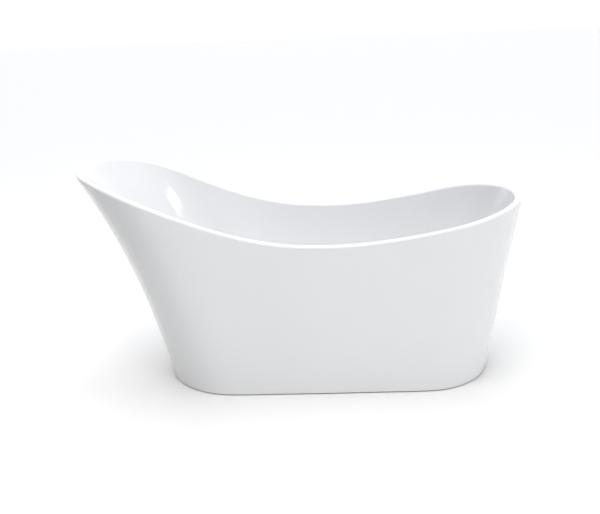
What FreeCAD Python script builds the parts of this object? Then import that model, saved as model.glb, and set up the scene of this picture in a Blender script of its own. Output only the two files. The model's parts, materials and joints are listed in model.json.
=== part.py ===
"""Freestanding single-ended slipper bath: two bonded acrylic skins on a levelling frame.

Millimetres, +Z up. The origin is on the floor under the middle of the bath. The high
backrest (head) end is towards -X, the low (foot) end with the waste towards +X.
"""
import FreeCAD, Part
import math
import os
from FreeCAD import Placement, Rotation, Vector

# Overall shape
LENGTH = 1700.0             # over the rim
BASE_WIDTH = 650.0          # over the skirt at the floor
HEAD_HEIGHT = 832.0         # top of the backrest
LOW_HEIGHT = 583.0          # lowest point of the rim
FOOT_HEIGHT = 686.0         # rim at the foot end
LOW_FROM_FOOT = 727.0       # lowest point of the rim, from the foot tip
HEAD_SWEEP = 1.26           # how late the rim climbs to the backrest
BASE_HEAD_INSET = 326.0     # base behind the head tip's corner
BASE_FOOT_INSET = 136.0     # base behind the foot tip's corner
SIDE_FLARE = 0.105          # side lean, mm out per mm up
HEAD_LEAN = 0.25            # lean of the head end at the floor
HEAD_CURL = 2.6             # power of the extra curl towards the head tip
HEAD_ROUND = 275.0          # ends of the base: length of each half ellipse
FOOT_ROUND = 250.0
HEAD_ROUND_GROWTH = 0.035   # growth of those ellipses, mm per mm up
FOOT_ROUND_GROWTH = 0.090
SIDE_BOW = 0.035            # share of the half width lost at the ends of a side

# Skins
SKIN = 5.0                  # acrylic
BACKING = 3.0               # glass fibre under the basin
RIM_WIDTH = 28.0
RIM_ROUND = 9.0
RIM_LIP = 20.0              # depth of the rim's turned-down outer edge
BEAD_DEPTH = 35.0
SKIRT_LIFT = 4.0            # gap under the skirt
RING_THICKNESS = 18.0       # plywood stiffener inside the skirt's lower edge
RING_LIFT = 8.0             # floor to the stiffener

# Basin
FLOOR_HEIGHT = 140.0
FLOOR_ROUND = 90.0
HEAD_GAP = 150.0            # outer face of the skirt to the basin, at the basin floor
FOOT_GAP = 145.0
SIDE_GAP = 110.0
HEAD_GAP_POWER = 1.2        # how the gaps close towards the rim
FOOT_GAP_POWER = 1.5
SIDE_GAP_POWER = 1.6

# Support frame
BOARD_THICKNESS = 15.0
BOARD_ROUND = 40.0
BOARD_EDGE = 10.0           # board in from the flat of the basin's floor
BOARD_FROM_WASTE = 25.0
TUBE = 25.0                 # square tube
TUBE_WALL = 1.5
RAIL_SPACING = 200.0
HEAD_BAR_INSET = 110.0      # cross bar centres, from the ends of the base
FOOT_BAR_INSET = 126.0
RAIL_OVERHANG = 30.0
BAR_CLEARANCE = 3.0
SCREW_RADIUS = 2.5
SCREW_HEAD_RADIUS = 5.0
SCREW_HEAD_HEIGHT = 2.5
SCREW_GRIP = 12.0           # thread in the wood

# Levelling feet
STUD_RADIUS = 6.0
FOOT_INSET = 62.0           # foot centre from the end of its cross bar
STUD_ABOVE_BAR = 12.0
THREAD_CLEARANCE = 0.05
NUT_HEIGHT = 10.0
NUT_ACROSS_FLATS = 19.0
PAD_RADIUS = 25.0
PAD_HEIGHT = 12.0
PAD_SOCKET = 6.0
PAD_CLEARANCE = 3.0         # at least, from the pad to the stiffener

# Waste
WASTE_FROM_FOOT = 400.0
WASTE_HOLE_RADIUS = 26.0
FLANGE_RADIUS = 35.0
FLANGE_THICKNESS = 3.0
SEAL = 2.0
THROAT_RADIUS = 21.0
TAIL_RADIUS = 24.0
TAIL_LENGTH = 34.0
BODY_RADIUS = 31.0
BODY_DEPTH = 38.0
OUTLET_RADIUS = 23.9        # G 1 1/2 pipe thread
OUTLET_BORE = 19.5
OUTLET_LENGTH = 24.0
SPIDER_DROP = 18.0          # from the basin floor to the top of the spider
SPIDER_HEIGHT = 8.0
ARM_WIDTH = 3.0
CARTRIDGE_RADIUS = 6.5
CARTRIDGE_LENGTH = 34.0
CARTRIDGE_RISE = 4.0        # above its spider
CARTRIDGE_FLOOR = 2.0
HUB_WALL = 3.0
STEM_RADIUS = 4.0
STEM_CLEARANCE = 0.08
CAP_RADIUS = 31.0
CAP_THICKNESS = 5.0
CAP_SEAL_RADIUS = 27.0
SEAT_GAP = 0.1
SPRING_WIRE = 0.5
SPRING_TURNS = 6

# Overflow
OVERFLOW_HEIGHT = 485.0
OVERFLOW_HOLE = 22.0
COVER_RADIUS = 32.0
COVER_THICKNESS = 6.0
COVER_FRONT = 2.0           # thickness of the cover's face
COVER_EDGE = 3.0            # thickness of its edge
COVER_SCREW_HEAD = 1.5
COVER_SCREW_GRIP = 8.0      # past the wall, into the body's bridge
OVERFLOW_DEPTH = 24.0       # body behind the basin
OVERFLOW_WALL = 2.5
OVERFLOW_CUT = 6.0          # how far the hole's cutter reaches past the wall's two faces
HOSE_RADIUS = 11.0
HOSE_WALL = 2.0
HOSE_SKIRT_GAP = 8.0        # hose to the inside of the skirt
HOSE_NUT_WALL = 3.5
HOSE_NUT_LENGTH = 12.0
SPIGOT_LENGTH = 14.0
HOSE_END_GAP = 4.0          # from the waste's cup to the hose
# Bends of the hose, as shares of its drop down the foot end and of its run to the waste
HOSE_UPPER_BEND = 0.12
HOSE_LOWER_BEND = 0.66
HOSE_CORNER = 0.72
HOSE_PULLED_IN = 6.0        # lower bend, in from the line along the skirt


def rounding_loss(lean, slope):
    """How far rounding pulls in a rim tip whose wall leans and whose top slopes."""
    half_corner = (math.pi / 2 - math.atan(lean) - math.atan(slope)) / 2
    middle = math.atan(slope) + half_corner
    return RIM_ROUND * (math.cos(middle) / math.sin(half_corner) - 1)


# Worked out from the sizes above: the tips are corners that the rounding takes off
HEAD_TIP_LEAN = HEAD_LEAN + HEAD_CURL * (BASE_HEAD_INSET / HEAD_HEIGHT - HEAD_LEAN)
FOOT_TIP_LEAN = BASE_FOOT_INSET / FOOT_HEIGHT
FOOT_TIP_SLOPE = (FOOT_HEIGHT - LOW_HEIGHT) / LOW_FROM_FOOT
HEAD_TIP = -LENGTH / 2 - rounding_loss(HEAD_TIP_LEAN, 0)
FOOT_TIP = LENGTH / 2 + rounding_loss(FOOT_TIP_LEAN, FOOT_TIP_SLOPE)
BASE_HEAD = HEAD_TIP + BASE_HEAD_INSET
BASE_FOOT = FOOT_TIP - BASE_FOOT_INSET
LOW_X = FOOT_TIP - LOW_FROM_FOOT
ABOVE_RIM = HEAD_HEIGHT + 70.0
SHELL_BOTTOM = FLOOR_HEIGHT - SKIN
BACKING_BOTTOM = SHELL_BOTTOM - BACKING
BOARD_BOTTOM = BACKING_BOTTOM - BOARD_THICKNESS
RAIL_BOTTOM = BOARD_BOTTOM - TUBE
BAR_BOTTOM = RAIL_BOTTOM - TUBE
HEAD_BAR = BASE_HEAD + HEAD_BAR_INSET
FOOT_BAR = BASE_FOOT - FOOT_BAR_INSET
CENTRE_BAR = (HEAD_BAR + FOOT_BAR) / 2
BARS = {"head": HEAD_BAR, "centre": CENTRE_BAR, "foot": FOOT_BAR}
RAILS = {"front": -RAIL_SPACING / 2, "back": RAIL_SPACING / 2}
WASTE_X = FOOT_TIP - WASTE_FROM_FOOT
FLANGE_TOP = FLOOR_HEIGHT + SEAL + FLANGE_THICKNESS
CUP_TOP = BACKING_BOTTOM - SEAL
CUP_BOTTOM = CUP_TOP - BODY_DEPTH
SPIDER_TOP = FLOOR_HEIGHT - SPIDER_DROP
CARTRIDGE_TOP = SPIDER_TOP + CARTRIDGE_RISE
CARTRIDGE_BOTTOM = CARTRIDGE_TOP - CARTRIDGE_LENGTH
STEM_BOTTOM = CARTRIDGE_BOTTOM + CARTRIDGE_LENGTH / 2
CAP_BOTTOM = FLANGE_TOP + SEAL
HOSE_PORT_Z = CUP_TOP - BODY_DEPTH / 2


# ---------------------------------------------------------------- shape helpers
def cylinder(radius, height, x=0.0, y=0.0, z=0.0):
    return Part.makeCylinder(radius, height, Vector(x, y, z))


def ring(outer, inner, height, x=0.0, y=0.0, z=0.0):
    return cylinder(outer, height, x, y, z).cut(cylinder(inner, height, x, y, z))


def block(x_range, y_range, z_range):
    size = [high - low for low, high in (x_range, y_range, z_range)]
    return Part.makeBox(*size, Vector(x_range[0], y_range[0], z_range[0]))


def hexagon(across_flats, height, x, y, z):
    corner = across_flats / math.sqrt(3)
    angles = [math.radians(60 * i) for i in range(7)]
    points = [Vector(x + corner * math.cos(a), y + corner * math.sin(a), z) for a in angles]
    return Part.Face(Part.makePolygon(points)).extrude(Vector(0, 0, height))


def union(shapes):
    first, *rest = shapes
    return first.fuse(rest).removeSplitter() if rest else first


def screw_up(x, y, z, grip):
    """A pan-head screw that points up, with its head just under height z."""
    head = cylinder(SCREW_HEAD_RADIUS, SCREW_HEAD_HEIGHT, x, y, z - SCREW_HEAD_HEIGHT)
    head = head.makeChamfer(0.8, [head.Edges[2]])
    return head.fuse(cylinder(SCREW_RADIUS, grip, x, y, z)).removeSplitter()


def screw_down(x, y, z, grip):
    screw = screw_up(0, 0, 0, grip)
    screw.Placement = Placement(Vector(x, y, z), Rotation(Vector(1, 0, 0), 180))
    return screw


# ---------------------------------------------------------------- surfaces of the bath
def rim_height(x):
    """Height of the rim line: an S up to the backrest and a gentler rise to the foot."""
    to_head = min(1.0, max(0.0, (LOW_X - x) / (LOW_X - HEAD_TIP))) ** HEAD_SWEEP
    to_foot = max(0.0, (x - LOW_X) / (FOOT_TIP - LOW_X))
    head_rise = (HEAD_HEIGHT - LOW_HEIGHT) * to_head ** 2 * (3 - 2 * to_head)
    foot_rise = (FOOT_HEIGHT - LOW_HEIGHT) * to_foot ** 2 * (2 - to_foot)
    return LOW_HEIGHT + head_rise + foot_rise


def skirt_size(z):
    """Head x, foot x, half width and the two end lengths of the skirt at height z."""
    lean = HEAD_LEAN * z
    curl = BASE_HEAD_INSET - HEAD_LEAN * HEAD_HEIGHT
    head = BASE_HEAD - lean - curl * (z / HEAD_HEIGHT) ** HEAD_CURL
    foot = BASE_FOOT + BASE_FOOT_INSET * z / FOOT_HEIGHT
    half_width = BASE_WIDTH / 2 + SIDE_FLARE * z
    head_round = HEAD_ROUND + HEAD_ROUND_GROWTH * z
    foot_round = FOOT_ROUND + FOOT_ROUND_GROWTH * z
    return head, foot, half_width, head_round, foot_round


def inset(size, head, foot, side):
    x_head, x_foot, half_width, head_round, foot_round = size
    return x_head + head, x_foot - foot, half_width - side, head_round - side, foot_round - side


def gap(z, at_floor, top, power):
    """Gap between the skirt's outer face and the basin, closing to the rim's width."""
    share = max(0.0, (top - z) / (top - FLOOR_HEIGHT))
    return RIM_WIDTH + (at_floor - RIM_WIDTH) * share ** power


def basin_size(z):
    head = gap(z, HEAD_GAP, HEAD_HEIGHT, HEAD_GAP_POWER)
    foot = gap(z, FOOT_GAP, FOOT_HEIGHT, FOOT_GAP_POWER)
    side = gap(z, SIDE_GAP, LOW_HEIGHT, SIDE_GAP_POWER)
    return inset(skirt_size(z), head, foot, side)


def half_width_at(size, x):
    """Half width of an outline at x: bowed sides between two half ellipses."""
    x_head, x_foot, half_width, head_round, foot_round = size
    middle = (x_head + x_foot) / 2
    bow = 1 - SIDE_BOW * (2 * (x - middle) / (x_foot - x_head)) ** 2
    into_head = max(0.0, x_head + head_round - x) / head_round
    into_foot = max(0.0, x - x_foot + foot_round) / foot_round
    along = min(1.0, max(into_head, into_foot))
    return half_width * bow * math.sqrt(1 - along ** 2)


def outline(size, z, per_end=8, per_side=5):
    """Smooth closed wire of an outline at height z."""
    x_head, x_foot, _, head_round, foot_round = size
    turns = [math.pi / 2 * i / per_end for i in range(per_end)]
    side_foot = x_foot - foot_round
    side_head = x_head + head_round
    xs = [side_foot + foot_round * math.cos(t) for t in turns]
    xs += [side_foot + (side_head - side_foot) * i / per_side for i in range(per_side)]
    xs += [side_head - head_round * math.sin(t) for t in turns]
    back = [Vector(x, half_width_at(size, x), z) for x in xs[1:]]
    front = [Vector(p.x, -p.y, z) for p in reversed(back)]
    curve = Part.BSplineCurve()
    points = [Vector(x_foot, 0, z), *back, Vector(x_head, 0, z), *front]
    curve.interpolate(points, PeriodicFlag=True)
    return Part.Wire([curve.toShape()])


def skirt_plug(depth):
    """Solid inside the skirt's outer face, taken in by depth, carried on above the rim."""
    heights = [ABOVE_RIM * i / 6 for i in range(7)]
    wires = [outline(inset(skirt_size(z), depth, depth, depth), z) for z in heights]
    return Part.makeLoft(wires, True, False, False, 3)


def basin_plug(growth):
    """Solid of the basin's hollow, grown by growth, carried on above the rim."""
    rise = ABOVE_RIM - FLOOR_HEIGHT
    heights = [FLOOR_HEIGHT - growth] + [FLOOR_HEIGHT + rise * i / 8 for i in range(1, 9)]
    wires = [outline(inset(basin_size(z), -growth, -growth, -growth), z) for z in heights]
    plug = Part.makeLoft(wires, True, False, False, 3)
    low = [e for e in plug.Edges if e.BoundBox.ZMax < FLOOR_HEIGHT - growth + 1]
    return plug.makeFillet(FLOOR_ROUND + growth, low)


def under_rim(drop):
    """Everything below the rim line lowered by drop."""
    reach = 80.0
    half = BASE_WIDTH
    spans = 24
    step = (LENGTH + 2 * reach) / spans
    xs = [HEAD_TIP - reach + step * i for i in range(spans + 1)]
    curve = Part.BSplineCurve()
    curve.interpolate([Vector(x, -half, rim_height(x) - drop) for x in xs])
    start = Vector(xs[0], -half, rim_height(xs[0]) - drop)
    end = Vector(xs[-1], -half, rim_height(xs[-1]) - drop)
    below_start = Vector(start.x, -half, -reach)
    below_end = Vector(end.x, -half, -reach)
    sides = [(end, below_end), (below_end, below_start), (below_start, start)]
    edges = [curve.toShape()] + [Part.makeLine(*side) for side in sides]
    return Part.Face(Part.Wire(edges)).extrude(Vector(0, 2 * half, 0))


def on_rim(edges, drop=0.0):
    """Whether edges all lie on the rim line lowered by drop."""
    points = [point for edge in edges for point in edge.discretize(9)]
    return all(abs(p.z - rim_height(p.x) + drop) < 0.8 for p in points)


def wall(outer, inner, drop):
    """The wall between a solid and a smaller one inside it, both cut off at one height.

    Made from their faces and the ring between their tops, which is far quicker than a cut.
    """
    under = under_rim(drop)
    tops, sides = [], []
    for solid in (outer.common(under), inner.common(under)):
        tops += [face for face in solid.Faces if on_rim(face.Edges, drop)]
        sides.append([face for face in solid.Faces if not on_rim(face.Edges, drop)])
    rim = tops[0].cut(tops[1])
    hollow = [face.reversed() for face in sides[1]]
    shell = Part.Shell(sides[0] + hollow + rim.Faces)
    shell.sewShape()
    return Part.Solid(shell)


# ---------------------------------------------------------------- skins
class Skins:
    """The lofted solids that the skins and everything against them are cut from."""
    def __init__(self):
        self.outside = skirt_plug(0)
        self.inside_skirt = skirt_plug(SKIN)
        self.inside_ring = skirt_plug(SKIN + RING_THICKNESS)
        self.hollow = basin_plug(0)
        self.shell = basin_plug(SKIN)
        self.backed = basin_plug(SKIN + BACKING)


def inner_shell(skins):
    """Basin whose rim rolls out over the gap and turns down over the skirt's edge."""
    under_rim_top = skins.inside_skirt.common(under_rim(SKIN))
    roll = skins.outside.cut(under_rim(RIM_LIP)).cut(under_rim_top)
    body = wall(roll.fuse(skins.shell), skins.hollow, 0)
    body = body.makeFillet(RIM_ROUND, [edge for edge in body.Edges if on_rim([edge])])
    return body.cut([waste_hole(), overflow_hole()])


def outer_skirt(skins):
    skin = skins.outside.cut(skins.inside_skirt).common(under_rim(RIM_LIP))
    return skin.common(floor_clear(SKIRT_LIFT))


def floor_clear(z):
    reach = LENGTH
    return block((-reach, reach), (-reach, reach), (z, ABOVE_RIM))


def rim_bond_bead(skins):
    between = skins.inside_skirt.cut(skins.shell).common(under_rim(SKIN))
    return between.cut(under_rim(SKIN + BEAD_DEPTH))


def glass_fibre_backing(skins):
    layer = wall(skins.backed, skins.shell, SKIN + BEAD_DEPTH)
    return layer.cut([waste_hole(), overflow_hole()])


def skirt_stiffening_ring(skins):
    band = skins.inside_skirt.cut(skins.inside_ring)
    reach = LENGTH
    return band.common(block((-reach, reach), (-reach, reach), (RING_LIFT, BAR_BOTTOM)))


# ---------------------------------------------------------------- support frame
def base_board():
    size = basin_size(FLOOR_HEIGHT)
    edge = FLOOR_ROUND + BOARD_EDGE
    x_range = (size[0] + edge, WASTE_X - FLANGE_RADIUS - BOARD_FROM_WASTE)
    half = size[2] - edge
    board = block(x_range, (-half, half), (BOARD_BOTTOM, BACKING_BOTTOM))
    corners = [e for e in board.Edges if e.BoundBox.ZLength > BOARD_THICKNESS / 2]
    return board.makeFillet(BOARD_ROUND, corners)


def square_tube(x_range, y_range, z_range, axis):
    """Square tube open at the two ends across axis."""
    ranges = [x_range, y_range, z_range]
    hollow = [(low + TUBE_WALL, high - TUBE_WALL) for low, high in ranges]
    hollow[axis] = ranges[axis]
    return block(*ranges).cut(block(*hollow))


def frame_rail(y):
    x_range = (HEAD_BAR - RAIL_OVERHANG, FOOT_BAR + RAIL_OVERHANG)
    return square_tube(x_range, (y - TUBE / 2, y + TUBE / 2), (RAIL_BOTTOM, BOARD_BOTTOM), 0)


def bar_half_length(x):
    """A cross bar ends just inside the skirt, at the tighter of its two edges."""
    size = inset(skirt_size(BAR_BOTTOM), SKIN, SKIN, SKIN)
    edges = (x - TUBE / 2, x + TUBE / 2)
    return min(half_width_at(size, edge) for edge in edges) - BAR_CLEARANCE


def cross_bar(x):
    half = bar_half_length(x)
    return square_tube((x - TUBE / 2, x + TUBE / 2), (-half, half), (BAR_BOTTOM, RAIL_BOTTOM), 1)


def frame_screws():
    """Up through each cross bar into the rail above it."""
    spots = [(x, y) for x in BARS.values() for y in RAILS.values()]
    return [screw_up(x, y, BAR_BOTTOM, TUBE + 2 * TUBE_WALL) for x, y in spots]


def board_screws():
    """Up through the rails into the base board, on both sides of the centre bar."""
    low, high = HEAD_BAR + 2 * TUBE, WASTE_X - 3 * FLANGE_RADIUS
    thirds = [low + (high - low) * i / 3 for i in range(4)]
    xs = [x for x in thirds if abs(x - CENTRE_BAR) > TUBE]
    spots = [(x, y) for x in xs for y in RAILS.values()]
    return [screw_up(x, y, RAIL_BOTTOM, TUBE + SCREW_GRIP) for x, y in spots]


def ring_screws():
    """Down through the cross bar ends into the stiffening ring."""
    spots = []
    for x in BARS.values():
        y = bar_half_length(x) - RING_THICKNESS / 2
        spots += [(x, -y), (x, y)]
    return [screw_down(x, y, RAIL_BOTTOM, TUBE + SCREW_GRIP) for x, y in spots]


# ---------------------------------------------------------------- levelling feet
def foot_offset(x):
    """A foot stands near its bar's end, with its pad clear of the stiffening ring."""
    depth = SKIN + RING_THICKNESS
    inner_face = inset(skirt_size(0), depth, depth, depth)
    edges = (x - PAD_RADIUS, x + PAD_RADIUS)
    room = min(half_width_at(inner_face, edge) for edge in edges)
    return min(bar_half_length(x) - FOOT_INSET, room - PAD_RADIUS - PAD_CLEARANCE)


def foot_places():
    places = {"centre": (CENTRE_BAR, 0.0)}
    for end in ("head", "foot"):
        y = foot_offset(BARS[end])
        places[end + "_front"] = (BARS[end], -y)
        places[end + "_back"] = (BARS[end], y)
    return places


def levelling_stud(x, y):
    low = PAD_HEIGHT - PAD_SOCKET
    high = RAIL_BOTTOM + STUD_ABOVE_BAR
    stud = cylinder(STUD_RADIUS, high - low, x, y, low)
    top = [e for e in stud.Edges if e.BoundBox.ZMin > high - 1]
    flats = hexagon(NUT_ACROSS_FLATS, NUT_HEIGHT / 2, x, y, PAD_HEIGHT)
    return stud.makeChamfer(1.0, top).fuse(flats).removeSplitter()


def levelling_pad(x, y):
    pad = cylinder(PAD_RADIUS, PAD_HEIGHT / 2, x, y, 0)
    cone = Part.makeCone(PAD_RADIUS, 2 * STUD_RADIUS, PAD_HEIGHT / 2, Vector(x, y, PAD_HEIGHT / 2))
    socket = cylinder(STUD_RADIUS, PAD_SOCKET, x, y, PAD_HEIGHT - PAD_SOCKET)
    return pad.fuse(cone).removeSplitter().cut(socket)


def stud_nuts(places, top):
    """One threaded hexagon on each stud, with its upper face at top."""
    low = top - NUT_HEIGHT
    nuts = []
    for x, y in places.values():
        bore = cylinder(STUD_RADIUS + THREAD_CLEARANCE, NUT_HEIGHT, x, y, low)
        nuts.append(hexagon(NUT_ACROSS_FLATS, NUT_HEIGHT, x, y, low).cut(bore))
    return nuts


# ---------------------------------------------------------------- waste
def waste_hole():
    return cylinder(WASTE_HOLE_RADIUS, SKIN + BACKING + 2, WASTE_X, 0, BACKING_BOTTOM - 1)


def waste_flange():
    """Dished top flange, its threaded tail and the spider that holds the cartridge."""
    top = ring(FLANGE_RADIUS, THROAT_RADIUS, FLANGE_THICKNESS, WASTE_X, 0, FLOOR_HEIGHT + SEAL)
    outer_edge = [e for e in top.Edges if e.BoundBox.ZMin > FLANGE_TOP - 1 and e.Length > 200]
    top = top.makeFillet(FLANGE_THICKNESS / 2, outer_edge)
    tail_z = FLOOR_HEIGHT + SEAL - TAIL_LENGTH
    tail = ring(TAIL_RADIUS, THROAT_RADIUS, TAIL_LENGTH, WASTE_X, 0, tail_z)
    hub = cylinder(CARTRIDGE_RADIUS + HUB_WALL, SPIDER_HEIGHT, WASTE_X, 0, SPIDER_TOP - SPIDER_HEIGHT)
    arms = []
    for turn in (0, 90):
        arm = block((-THROAT_RADIUS - 1, THROAT_RADIUS + 1), (-ARM_WIDTH / 2, ARM_WIDTH / 2),
                    (SPIDER_TOP - SPIDER_HEIGHT, SPIDER_TOP))
        arm.Placement = Placement(Vector(WASTE_X, 0, 0), Rotation(Vector(0, 0, 1), turn))
        arms.append(arm)
    bore = cylinder(CARTRIDGE_RADIUS, SPIDER_HEIGHT, WASTE_X, 0, SPIDER_TOP - SPIDER_HEIGHT)
    return union([top, tail, hub, *arms]).cut(bore)


def waste_seal_top():
    return ring(FLANGE_RADIUS - 1.5, TAIL_RADIUS, SEAL, WASTE_X, 0, FLOOR_HEIGHT)


def waste_seal_bottom():
    return ring(BODY_RADIUS, WASTE_HOLE_RADIUS, SEAL, WASTE_X, 0, CUP_TOP)


def waste_body():
    """Cup that the flange screws into, with the outlet below and the hose port beside."""
    cup = cylinder(BODY_RADIUS, BODY_DEPTH, WASTE_X, 0, CUP_BOTTOM)
    low = [e for e in cup.Edges if e.BoundBox.ZMax < CUP_BOTTOM + 1 and e.Length > 100]
    cup = cup.makeFillet(4.0, low)
    outlet = cylinder(OUTLET_RADIUS, OUTLET_LENGTH, WASTE_X, 0, CUP_BOTTOM - OUTLET_LENGTH)
    spigot_end = BODY_RADIUS + SPIGOT_LENGTH + HOSE_END_GAP
    spigot = along_x(HOSE_RADIUS - HOSE_WALL, spigot_end, WASTE_X, HOSE_PORT_Z)
    port = along_x(HOSE_RADIUS - 2 * HOSE_WALL, spigot_end, WASTE_X, HOSE_PORT_Z)
    bore_top = FLOOR_HEIGHT + SEAL - TAIL_LENGTH
    threaded = cylinder(TAIL_RADIUS, CUP_TOP - bore_top, WASTE_X, 0, bore_top)
    chamber = cylinder(OUTLET_BORE, bore_top - CUP_BOTTOM, WASTE_X, 0, CUP_BOTTOM)
    drain = cylinder(OUTLET_BORE, OUTLET_LENGTH, WASTE_X, 0, CUP_BOTTOM - OUTLET_LENGTH)
    return union([cup, outlet, spigot]).cut(union([threaded, chamber, drain])).cut(port)


def along_x(radius, length, x, z):
    return Part.makeCylinder(radius, length, Vector(x, 0, z), Vector(1, 0, 0))


def click_cartridge():
    """Blind sleeve that guides and latches the plug's stem."""
    sleeve = cylinder(CARTRIDGE_RADIUS, CARTRIDGE_LENGTH, WASTE_X, 0, CARTRIDGE_BOTTOM)
    bore = cylinder(STEM_RADIUS + STEM_CLEARANCE, CARTRIDGE_LENGTH - CARTRIDGE_FLOOR, WASTE_X, 0,
                    CARTRIDGE_BOTTOM + CARTRIDGE_FLOOR)
    return sleeve.cut(bore)


def click_spring():
    low = CARTRIDGE_BOTTOM + CARTRIDGE_FLOOR + SPRING_WIRE
    high = STEM_BOTTOM - SPRING_WIRE - SEAT_GAP
    radius = STEM_RADIUS - 2 * SPRING_WIRE
    pitch = (high - low) / SPRING_TURNS
    path = Part.Wire(Part.makeHelix(pitch, high - low, radius))
    circle = Part.makeCircle(SPRING_WIRE, Vector(radius, 0, 0), Vector(0, 1, 0))
    coil = path.makePipeShell([Part.Wire([circle])], True, True)
    coil.translate(Vector(WASTE_X, 0, low))
    return coil


def plug_stem():
    return cylinder(STEM_RADIUS, CAP_BOTTOM - STEM_BOTTOM, WASTE_X, 0, STEM_BOTTOM)


def plug_seal():
    height = SEAL - SEAT_GAP
    return ring(CAP_SEAL_RADIUS, THROAT_RADIUS + 1.0, height, WASTE_X, 0, FLANGE_TOP + SEAT_GAP)


def plug_cap():
    cap = cylinder(CAP_RADIUS, CAP_THICKNESS, WASTE_X, 0, CAP_BOTTOM)
    top = [e for e in cap.Edges if e.BoundBox.ZMin > CAP_BOTTOM + CAP_THICKNESS - 1]
    return cap.makeFillet(CAP_THICKNESS / 2, [e for e in top if e.Length > 100])


# ---------------------------------------------------------------- overflow
def overflow_frame():
    """Where the overflow's axis meets the basin wall, and the wall's lean there."""
    step = 5.0
    x = basin_size(OVERFLOW_HEIGHT)[1]
    slope = (basin_size(OVERFLOW_HEIGHT + step)[1] - basin_size(OVERFLOW_HEIGHT - step)[1]) / (2 * step)
    return Vector(x, 0, OVERFLOW_HEIGHT), math.degrees(math.atan(slope))


def behind_wall(radius, start, end):
    """Cylinder on the overflow's axis, from start to end behind the basin's face."""
    point, lean = overflow_frame()
    tube = Part.makeCylinder(radius, end - start, Vector(start, 0, 0), Vector(1, 0, 0))
    tube.Placement = Placement(point, Rotation(Vector(0, 1, 0), lean))
    return tube


def overflow_hole():
    return behind_wall(OVERFLOW_HOLE, -OVERFLOW_CUT, SKIN + BACKING + OVERFLOW_CUT)


def overflow_cover():
    """Shallow round cap that stands off the wall, with a slot for the water below it."""
    front = -COVER_THICKNESS - SEAL
    cover = behind_wall(COVER_RADIUS, front, -SEAL)
    rim = max(cover.Edges, key=lambda e: -e.BoundBox.XMin)
    cover = cover.makeFillet(COVER_THICKNESS / 3, [rim])
    hollow = behind_wall(COVER_RADIUS - COVER_EDGE, front + COVER_FRONT, -SEAL)
    boss = behind_wall(2 * SCREW_RADIUS, front + COVER_FRONT, -SEAL)
    return cover.cut(hollow.cut(boss)).cut(overflow_screw())


def overflow_seal(skins):
    """Rubber ring whose back follows the curve of the basin wall."""
    seal = behind_wall(COVER_RADIUS - 0.5, -SEAL, SEAL * 2)
    return seal.cut(behind_wall(OVERFLOW_HOLE + 3.0, -SEAL, SEAL * 2)).common(skins.hollow)


def overflow_screw():
    front = -COVER_THICKNESS - SEAL
    head = behind_wall(SCREW_HEAD_RADIUS, front - COVER_SCREW_HEAD, front)
    shank = behind_wall(SCREW_RADIUS, front, SKIN + BACKING + COVER_SCREW_GRIP)
    return head.fuse(shank).removeSplitter()


def overflow_axis_point(depth):
    point, lean = overflow_frame()
    turn = Rotation(Vector(0, 1, 0), lean)
    return point + turn.multVec(Vector(depth, 0, 0))


def overflow_body(skins):
    """Round chamber behind the wall, with a bridge for the screw and a spigot downwards."""
    end = SKIN + BACKING + OVERFLOW_DEPTH
    chamber = behind_wall(COVER_RADIUS - 2.0, -2.0, end).cut(skins.backed)
    neck = behind_wall(OVERFLOW_HOLE, 1.0, end)
    void = behind_wall(OVERFLOW_HOLE - OVERFLOW_WALL, -OVERFLOW_CUT, end - OVERFLOW_WALL)
    bridge = behind_wall(2 * SCREW_RADIUS, SKIN + BACKING, end)
    top = hose_route()[0]
    spigot = cylinder(HOSE_RADIUS - HOSE_WALL, COVER_RADIUS, top.x, 0, top.z - SPIGOT_LENGTH)
    port = cylinder(HOSE_RADIUS - 2 * HOSE_WALL, COVER_RADIUS, top.x, 0, top.z - SPIGOT_LENGTH)
    body = union([chamber, neck, spigot]).cut(void.cut(bridge)).cut(port)
    return body.cut(overflow_screw())


# ---------------------------------------------------------------- hose
def hose_x(z):
    """The hose hangs a set gap inside the skirt's foot end."""
    return skirt_size(z)[1] - SKIN - HOSE_SKIRT_GAP - HOSE_RADIUS


def hose_route():
    """Down the foot end between the skins, then in under the basin to the waste."""
    top = overflow_axis_point(SKIN + BACKING + OVERFLOW_DEPTH / 2)
    top.z -= COVER_RADIUS + 2.0
    drop = top.z - HOSE_PORT_Z
    upper = Vector(top.x, 0, top.z - drop * HOSE_UPPER_BEND)
    low_z = top.z - drop * HOSE_LOWER_BEND
    lower = Vector(hose_x(low_z) - HOSE_PULLED_IN, 0, low_z)
    start = Vector(WASTE_X + BODY_RADIUS + HOSE_END_GAP, 0, HOSE_PORT_Z)
    corner = Vector(start.x + (lower.x - start.x) * HOSE_CORNER, 0, HOSE_PORT_Z)
    return [top, upper, lower, corner, start]


def tube_path(points, share=0.45):
    """Straight runs joined by tangent arcs, each as large as its two runs allow."""
    edges = []
    here = points[0]
    for before, corner, after in zip(points, points[1:], points[2:]):
        back = (before - corner).normalize()
        ahead = (after - corner).normalize()
        run = min((before - corner).Length, (after - corner).Length)
        cut = share * run
        half_turn = (math.pi - back.getAngle(ahead)) / 2
        radius = cut / math.tan(half_turn)
        print(f"hose bend: radius {radius:.0f}, turn {math.degrees(2 * half_turn):.0f} degrees")
        middle = corner + (back + ahead).normalize() * (radius / math.cos(half_turn) - radius)
        start, end = corner + back * cut, corner + ahead * cut
        edges += [Part.LineSegment(here, start).toShape(), Part.Arc(start, middle, end).toShape()]
        here = end
    edges.append(Part.LineSegment(here, points[-1]).toShape())
    return Part.Wire(edges)


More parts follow.
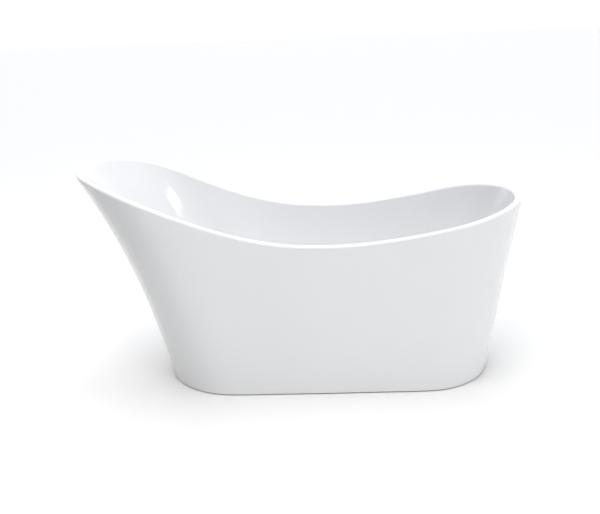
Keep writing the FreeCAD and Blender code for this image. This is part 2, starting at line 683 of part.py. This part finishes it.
def overflow_hose():
    path = tube_path(hose_route())
    start = hose_route()[0]
    solids = []
    for radius in (HOSE_RADIUS, HOSE_RADIUS - HOSE_WALL):
        circle = Part.Wire([Part.makeCircle(radius, start, Vector(0, 0, 1))])
        solids.append(path.makePipeShell([circle], True, False))
    hose = solids[0].cut(solids[1])
    wall_area = math.pi * (HOSE_RADIUS ** 2 - (HOSE_RADIUS - HOSE_WALL) ** 2)
    ratio = hose.Volume / wall_area / path.Length
    print(f"hose: length {path.Length:.0f}, volume over wall area x length {ratio:.4f}")
    return hose


def hose_nut(place, direction):
    outer = Part.makeCylinder(HOSE_RADIUS + HOSE_NUT_WALL, HOSE_NUT_LENGTH, place, direction)
    inner = Part.makeCylinder(HOSE_RADIUS, HOSE_NUT_LENGTH, place, direction)
    return outer.cut(inner)


# ---------------------------------------------------------------- assembly
def frame_nodes(skins):
    """Board, rails, cross bars and ring, each drilled by the screws and studs through it."""
    screws = {"frame_screws": frame_screws(), "board_screws": board_screws(),
              "ring_screws": ring_screws()}
    places = foot_places()
    drills = [s for group in screws.values() for s in group]
    tall = RAIL_BOTTOM + 2 * TUBE
    drills += [cylinder(STUD_RADIUS + 0.5, tall, x, y, 0) for x, y in places.values()]
    nodes = {"base_board": base_board(), "skirt_stiffening_ring": skirt_stiffening_ring(skins)}
    nodes.update({f"frame_rail_{side}": frame_rail(y) for side, y in RAILS.items()})
    nodes.update({f"cross_bar_{end}": cross_bar(x) for end, x in BARS.items()})
    nodes = {name: shape.cut(drills) for name, shape in nodes.items()}
    nodes.update({name: Part.makeCompound(group) for name, group in screws.items()})
    return nodes


def foot_nodes():
    places = foot_places()
    nodes = {"foot_weld_nuts": Part.makeCompound(stud_nuts(places, BAR_BOTTOM)),
             "foot_lock_nuts": Part.makeCompound(stud_nuts(places, BAR_BOTTOM - NUT_HEIGHT))}
    for name, (x, y) in places.items():
        nodes[f"levelling_stud_{name}"] = levelling_stud(x, y)
        nodes[f"levelling_pad_{name}"] = levelling_pad(x, y)
    return nodes


def waste_nodes():
    return {"waste_flange": waste_flange(), "waste_seal_top": waste_seal_top(),
            "waste_seal_bottom": waste_seal_bottom(), "waste_body": waste_body(),
            "click_cartridge": click_cartridge(), "click_spring": click_spring(),
            "plug_stem": plug_stem(), "plug_seal": plug_seal(), "plug_cap": plug_cap()}


def overflow_nodes(skins):
    route = hose_route()
    return {"overflow_cover": overflow_cover(), "overflow_seal": overflow_seal(skins),
            "overflow_screw": overflow_screw(), "overflow_body": overflow_body(skins),
            "overflow_hose": overflow_hose(),
            "hose_nut_top": hose_nut(route[0], Vector(0, 0, -1)),
            "hose_nut_bottom": hose_nut(route[-1], Vector(1, 0, 0))}


def main():
    skins = Skins()
    nodes = {"inner_shell": inner_shell(skins), "outer_skirt": outer_skirt(skins),
             "rim_bond_bead": rim_bond_bead(skins),
             "glass_fibre_backing": glass_fibre_backing(skins)}
    nodes.update(frame_nodes(skins))
    nodes.update(foot_nodes())
    nodes.update(waste_nodes())
    nodes.update(overflow_nodes(skins))
    os.makedirs("parts", exist_ok=True)
    for name, shape in nodes.items():
        print(f"{name}: valid {shape.isValid()}, solids {len(shape.Solids)}, {shape.Volume / 1000:.1f} cm3")
        shape.exportStep(f"parts/{name}.step")


main()
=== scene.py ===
"""Looks of a freestanding slipper bath: white gloss acrylic over a galvanised frame."""
import json
import math

import bpy
from mathutils import Matrix, Vector

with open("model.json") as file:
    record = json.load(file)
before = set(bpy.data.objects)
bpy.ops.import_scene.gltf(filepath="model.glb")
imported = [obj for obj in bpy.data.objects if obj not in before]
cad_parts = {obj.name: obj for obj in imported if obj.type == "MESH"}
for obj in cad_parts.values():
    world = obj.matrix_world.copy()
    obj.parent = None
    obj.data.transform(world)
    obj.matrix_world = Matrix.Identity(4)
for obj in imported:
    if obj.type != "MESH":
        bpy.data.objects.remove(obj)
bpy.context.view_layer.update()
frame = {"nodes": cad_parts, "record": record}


# ---------------------------------------------------------------- material helpers
class Finish:
    """A Principled material with short calls for the procedural nodes that drive it."""

    def __init__(self, name, color, roughness, metallic=0.0, ior=1.5):
        self.material = bpy.data.materials.new(name)
        self.material.use_nodes = True
        self.tree = self.material.node_tree
        self.shader = self.tree.nodes["Principled BSDF"]
        self.shader.inputs["Base Color"].default_value = (*color, 1.0)
        self.shader.inputs["Roughness"].default_value = roughness
        self.shader.inputs["Metallic"].default_value = metallic
        self.shader.inputs["IOR"].default_value = ior
        self.place = self.tree.nodes.new("ShaderNodeTexCoord").outputs["Object"]

    def node(self, kind, **inputs):
        """A new node; From_Min sets its input "From Min"."""
        node = self.tree.nodes.new(kind)
        for name, value in inputs.items():
            node.inputs[name.replace("_", " ")].default_value = value
        return node

    def link(self, output, target):
        self.tree.links.new(output, target)

    def stretched(self, scale):
        """The object's own coordinates, scaled by (x, y, z)."""
        mapping = self.node("ShaderNodeMapping", Scale=scale)
        self.link(self.place, mapping.inputs["Vector"])
        return mapping.outputs["Vector"]

    def noise(self, scale, detail=3.0, rough=0.5, place=None):
        node = self.node("ShaderNodeTexNoise", Scale=scale, Detail=detail, Roughness=rough)
        self.link(place or self.place, node.inputs["Vector"])
        return node.outputs["Fac"]

    def cells(self, scale, output="Distance"):
        node = self.node("ShaderNodeTexVoronoi", Scale=scale)
        self.link(self.place, node.inputs["Vector"])
        return node.outputs[output]

    def bands(self, scale, axis, distortion=0.0):
        node = self.node("ShaderNodeTexWave", Scale=scale, Distortion=distortion)
        node.bands_direction = axis
        self.link(self.place, node.inputs["Vector"])
        return node.outputs["Fac"]

    def spread(self, value, low, high):
        """value from 0 to 1 becomes low to high."""
        node = self.node("ShaderNodeMapRange")
        self.link(value, node.inputs["Value"])
        node.inputs["To Min"].default_value = low
        node.inputs["To Max"].default_value = high
        return node.outputs["Result"]

    def ramp(self, value, stops):
        """Colour from a list of (position, colour), position from 0 to 1."""
        node = self.node("ShaderNodeValToRGB")
        elements = node.color_ramp.elements
        while len(elements) < len(stops):
            elements.new(0.5)
        for element, (position, color) in zip(elements, stops):
            element.position = position
            element.color = (*color, 1.0)
        self.link(value, node.inputs["Fac"])
        return node.outputs["Color"]

    def color(self, value, stops):
        self.link(self.ramp(value, stops), self.shader.inputs["Base Color"])

    def roughness(self, value, low, high):
        self.link(self.spread(value, low, high), self.shader.inputs["Roughness"])

    def bump(self, height, distance, strength=1.0):
        """Relief that is added to any bump set before."""
        node = self.node("ShaderNodeBump", Strength=strength, Distance=distance)
        self.link(height, node.inputs["Height"])
        before = self.shader.inputs["Normal"]
        if before.is_linked:
            self.link(before.links[0].from_socket, node.inputs["Normal"])
        self.link(node.outputs["Normal"], before)


# ---------------------------------------------------------------- materials
def acrylic():
    """Vacuum-formed white acrylic: high gloss with a faint ripple and wipe marks."""
    finish = Finish("acrylic_white", (0.77, 0.775, 0.78), 0.08, ior=1.49)
    cloud, greyer, whiter = finish.noise(2.2, 4.0), (0.76, 0.765, 0.77), (0.78, 0.785, 0.79)
    finish.color(cloud, [(0.3, greyer), (0.7, whiter)])
    finish.roughness(finish.noise(9.0, 5.0, 0.6), 0.06, 0.13)
    finish.bump(finish.noise(14.0, 2.0), 0.0006, 0.25)
    return finish.material


def glass_fibre():
    """Sprayed chopped strands in resin: cream, rough and streaked."""
    finish = Finish("glass_fibre", (0.80, 0.78, 0.66), 0.55)
    strands = finish.noise(70.0, 6.0, 0.75, finish.stretched((1.0, 4.0, 2.0)))
    gap, resin, strand = (0.66, 0.62, 0.48), (0.80, 0.77, 0.65), (0.90, 0.89, 0.82)
    finish.color(strands, [(0.3, gap), (0.55, resin), (0.8, strand)])
    finish.roughness(strands, 0.35, 0.75)
    finish.bump(strands, 0.0025, 0.7)
    finish.bump(finish.cells(35.0), 0.002, 0.3)
    return finish.material


def adhesive():
    finish = Finish("bond_adhesive", (0.74, 0.72, 0.66), 0.6)
    lumps = finish.noise(40.0, 4.0)
    finish.color(lumps, [(0.3, (0.66, 0.64, 0.58)), (0.7, (0.80, 0.78, 0.72))])
    finish.bump(lumps, 0.002, 0.6)
    return finish.material


def plywood():
    """Thin veneers seen on the edge, long grain on the face."""
    finish = Finish("plywood", (0.60, 0.42, 0.24), 0.6)
    veneers = finish.bands(95.0, "Z", 0.6)
    glue_line, brown, blond = (0.42, 0.27, 0.14), (0.62, 0.45, 0.27), (0.72, 0.56, 0.37)
    finish.color(veneers, [(0.2, glue_line), (0.6, brown), (0.9, blond)])
    grain = finish.noise(30.0, 8.0, 0.7, finish.stretched((0.6, 12.0, 12.0)))
    finish.roughness(grain, 0.5, 0.8)
    finish.bump(grain, 0.0008, 0.6)
    return finish.material


def galvanised():
    """Zinc spangle: flat crystals of slightly different tone and gloss."""
    finish = Finish("galvanised_steel", (0.55, 0.56, 0.58), 0.42, metallic=1.0)
    spangle = finish.cells(110.0, "Color")
    dull, middling, bright = (0.44, 0.45, 0.47), (0.55, 0.56, 0.58), (0.68, 0.69, 0.70)
    finish.color(spangle, [(0.1, dull), (0.5, middling), (0.9, bright)])
    finish.roughness(finish.noise(18.0, 4.0), 0.32, 0.58)
    finish.bump(finish.noise(160.0, 3.0), 0.0002, 0.4)
    return finish.material


def zinc_fixings():
    """Zinc-plated threads, as fine rings round the fixing."""
    finish = Finish("zinc_fixings", (0.68, 0.66, 0.60), 0.3, metallic=1.0)
    tone = finish.noise(120.0, 3.0)
    finish.color(tone, [(0.3, (0.58, 0.56, 0.50)), (0.7, (0.74, 0.73, 0.68))])
    finish.roughness(tone, 0.22, 0.42)
    finish.bump(finish.bands(180.0, "Z"), 0.0006, 0.6)
    return finish.material


def rubber(name, tone, scale):
    finish = Finish(name, (tone, tone, tone), 0.65)
    grain = finish.noise(scale, 4.0)
    finish.color(grain, [(0.3, (tone * 0.7,) * 3), (0.7, (tone * 1.3,) * 3)])
    finish.roughness(grain, 0.55, 0.8)
    finish.bump(grain, 0.0004, 0.5)
    return finish.material


def chrome(name="chrome", tone=0.80):
    """Polished plating with faint water marks."""
    finish = Finish(name, (tone, tone, tone + 0.01), 0.06, metallic=1.0)
    marks = finish.noise(60.0, 5.0, 0.6)
    finish.color(marks, [(0.35, (tone * 0.96,) * 3), (0.65, (tone * 1.03,) * 3)])
    finish.roughness(marks, 0.04, 0.14)
    finish.bump(marks, 0.0001, 0.15)
    return finish.material


def moulded_plastic(name, color):
    finish = Finish(name, color, 0.4)
    grain = finish.noise(90.0, 3.0)
    darker = tuple(part * 0.95 for part in color)
    lighter = tuple(min(1, part * 1.04) for part in color)
    finish.color(grain, [(0.3, darker), (0.7, lighter)])
    finish.roughness(grain, 0.32, 0.5)
    finish.bump(grain, 0.0002, 0.4)
    return finish.material


def floor_finish():
    """Matt pale floor with painted light and shade: whitest behind the bath (painted light), greyer
    to the left and in front of it (painted shade), as if the studio light fell off there.
    """
    finish = Finish("studio_floor", (0.8, 0.8, 0.78), 0.6)

    def painted_falloff(direction, edge, width, low):
        """Painted light fall-off: from low to 1 across a slanted band of the floor, width wide, that
        ends at edge.
        """
        across = finish.tree.nodes.new("ShaderNodeVectorMath")
        across.operation = "DOT_PRODUCT"
        across.inputs[1].default_value = direction
        finish.link(finish.place, across.inputs[0])
        band = finish.node("ShaderNodeMapRange", From_Min=edge - width, From_Max=edge, To_Min=low)
        finish.link(across.outputs["Value"], band.inputs["Value"])
        return band.outputs["Result"]

    def product(first, second):
        node = finish.tree.nodes.new("ShaderNodeMath")
        node.operation = "MULTIPLY"
        finish.link(first, node.inputs[0])
        finish.link(second, node.inputs[1])
        return node.outputs["Value"]

    # Painted shade greys the floor to the left of and in front of the bath; painted light whitens it
    # behind the bath.
    left = painted_falloff((1.0, 0.37, 0.0), edge=-1.25, width=1.2, low=0.6)
    front = painted_falloff((0.8, 1.0, 0.0), edge=-1.85, width=1.4, low=0.7)
    back = painted_falloff((0.0, 1.0, 0.0), edge=0.9, width=1.1, low=0.84)
    black, warm_white = (0.0, 0.0, 0.0), (0.98, 0.975, 0.955)
    finish.color(product(product(left, front), back), [(0.0, black), (1.0, warm_white)])
    return finish.material


def paint_nodes():
    made = {
        "acrylic_white": acrylic(),
        "glass_fibre": glass_fibre(),
        "bond_adhesive": adhesive(),
        "plywood": plywood(),
        "galvanised_steel": galvanised(),
        "zinc_fixings": zinc_fixings(),
        "foot_pad": rubber("foot_pad", 0.03, 220.0),
        "seal_rubber": rubber("seal_rubber", 0.05, 300.0),
        "chrome": chrome(),
        "spring_steel": chrome("spring_steel", 0.6),
        "waste_plastic": moulded_plastic("waste_plastic", (0.80, 0.80, 0.78)),
        "hose_grey": moulded_plastic("hose_grey", (0.42, 0.43, 0.44)),
    }
    for entry in frame["record"]["subparts"]:
        mesh = frame["nodes"][entry["node"]].data
        mesh.materials.clear()
        mesh.materials.append(made[entry["material_slot"]])


# ---------------------------------------------------------------- studio
def floor():
    far = 40.0
    mesh = bpy.data.meshes.new("studio_floor")
    corners = [(-far, -far, 0), (far, -far, 0), (far, far, 0), (-far, far, 0)]
    mesh.from_pydata(corners, [], [(0, 1, 2, 3)])
    mesh.materials.append(floor_finish())
    piece = bpy.data.objects.new("studio_floor", mesh)
    bpy.context.scene.collection.objects.link(piece)


def surround():
    """A soft white room: bright behind the bath and overhead, grey in front and by the backrest."""
    world = bpy.data.worlds.new("studio")
    bpy.context.scene.world = world
    world.use_nodes = True
    tree = world.node_tree
    direction = tree.nodes.new("ShaderNodeTexCoord")
    split = tree.nodes.new("ShaderNodeSeparateXYZ")
    tree.links.new(direction.outputs["Generated"], split.inputs["Vector"])

    def fade(axis, start, end, low, high):
        """From low to high as the direction's part along axis goes from start to end."""
        node = tree.nodes.new("ShaderNodeMapRange")
        node.interpolation_type = "SMOOTHSTEP"
        node.inputs["From Min"].default_value = start
        node.inputs["From Max"].default_value = end
        node.inputs["To Min"].default_value = low
        node.inputs["To Max"].default_value = high
        tree.links.new(split.outputs[axis], node.inputs["Value"])
        return node.outputs["Result"]

    def combined(operation, first, second):
        node = tree.nodes.new("ShaderNodeMath")
        node.operation = operation
        tree.links.new(first, node.inputs[0])
        tree.links.new(second, node.inputs[1])
        return node.outputs["Value"]

    towards_foot = fade("X", start=-0.35, end=0.8, low=0.0, high=0.95)
    away_from_front = fade("Y", start=-1.0, end=0.4, low=0.3, high=1.1)
    room = combined("MULTIPLY", towards_foot, away_from_front)
    head_side = fade("X", start=-0.8, end=-0.05, low=0.2, high=1.0)
    foot_side = fade("X", start=0.0, end=0.5, low=1.0, high=0.1)
    middle = combined("MULTIPLY", head_side, foot_side)
    ceiling = combined("MULTIPLY", fade("Z", start=0.45, end=1.0, low=0.0, high=2.6), middle)
    back = fade("Y", start=0.45, end=0.85, low=0.0, high=1.32)
    strength = combined("MAXIMUM", room, combined("MAXIMUM", back, ceiling))
    tree.links.new(strength, tree.nodes["Background"].inputs["Strength"])
    cool_white = (0.955, 0.965, 1.0, 1.0)
    tree.nodes["Background"].inputs["Color"].default_value = cool_white


def softbox(name, place, target, size, power):
    """A rectangular lamp at place that faces target; size in metres, power in watts."""
    light = bpy.data.lights.new(name, "AREA")
    light.shape = "RECTANGLE"
    light.size, light.size_y = size
    light.energy = power
    lamp = bpy.data.objects.new(name, light)
    lamp.matrix_world = looking(Vector(place), Vector(target) - Vector(place), 0.0)
    bpy.context.scene.collection.objects.link(lamp)


def looking(place, forward, roll):
    """Matrix of a camera or lamp at place that looks along forward, turned by roll."""
    forward = forward.normalized()
    right = forward.cross(Vector((0, 0, 1))).normalized()
    up = right.cross(forward)
    tilted_right = right * math.cos(roll) + up * math.sin(roll)
    tilted_up = up * math.cos(roll) - right * math.sin(roll)
    turn = Matrix((tilted_right, tilted_up, -forward)).transposed()
    return Matrix.Translation(place) @ turn.to_4x4()


def camera():
    """In front of the bath, a little towards its foot, looking slightly down and a little rolled."""
    distance = 3.681
    height = 1.410
    offset = 0.008
    yaw = math.radians(-2.885)
    pitch = math.radians(14.666)
    roll = math.radians(-2.320)
    data = bpy.data.cameras.new("camera")
    data.sensor_width = 36.0
    data.lens = 57.8
    eye = bpy.data.objects.new("camera", data)
    place = Vector((-distance * math.sin(yaw) - offset, -distance * math.cos(yaw), height))
    level = Vector((math.sin(yaw), math.cos(yaw), 0.0))
    forward = level * math.cos(pitch) - Vector((0.0, 0.0, math.sin(pitch)))
    eye.matrix_world = looking(place, forward, roll)
    bpy.context.scene.collection.objects.link(eye)
    bpy.context.scene.camera = eye


def studio():
    floor()
    surround()
    softbox("softbox_top", (-0.8, -1.9, 3.0), target=(0.1, 0.0, 0.4), size=(2.6, 1.8), power=50.0)
    softbox("softbox_right", (2.4, -2.8, 0.8), target=(0.3, 0.0, 0.4), size=(1.2, 1.2), power=15.0)
    softbox("strip", (1.93, -0.80, 2.35), target=(-0.55, 0.32, 0.65), size=(1.0, 0.2), power=5.0)
    camera()
    bpy.context.scene.view_settings.view_transform = "Standard"


paint_nodes()
studio()
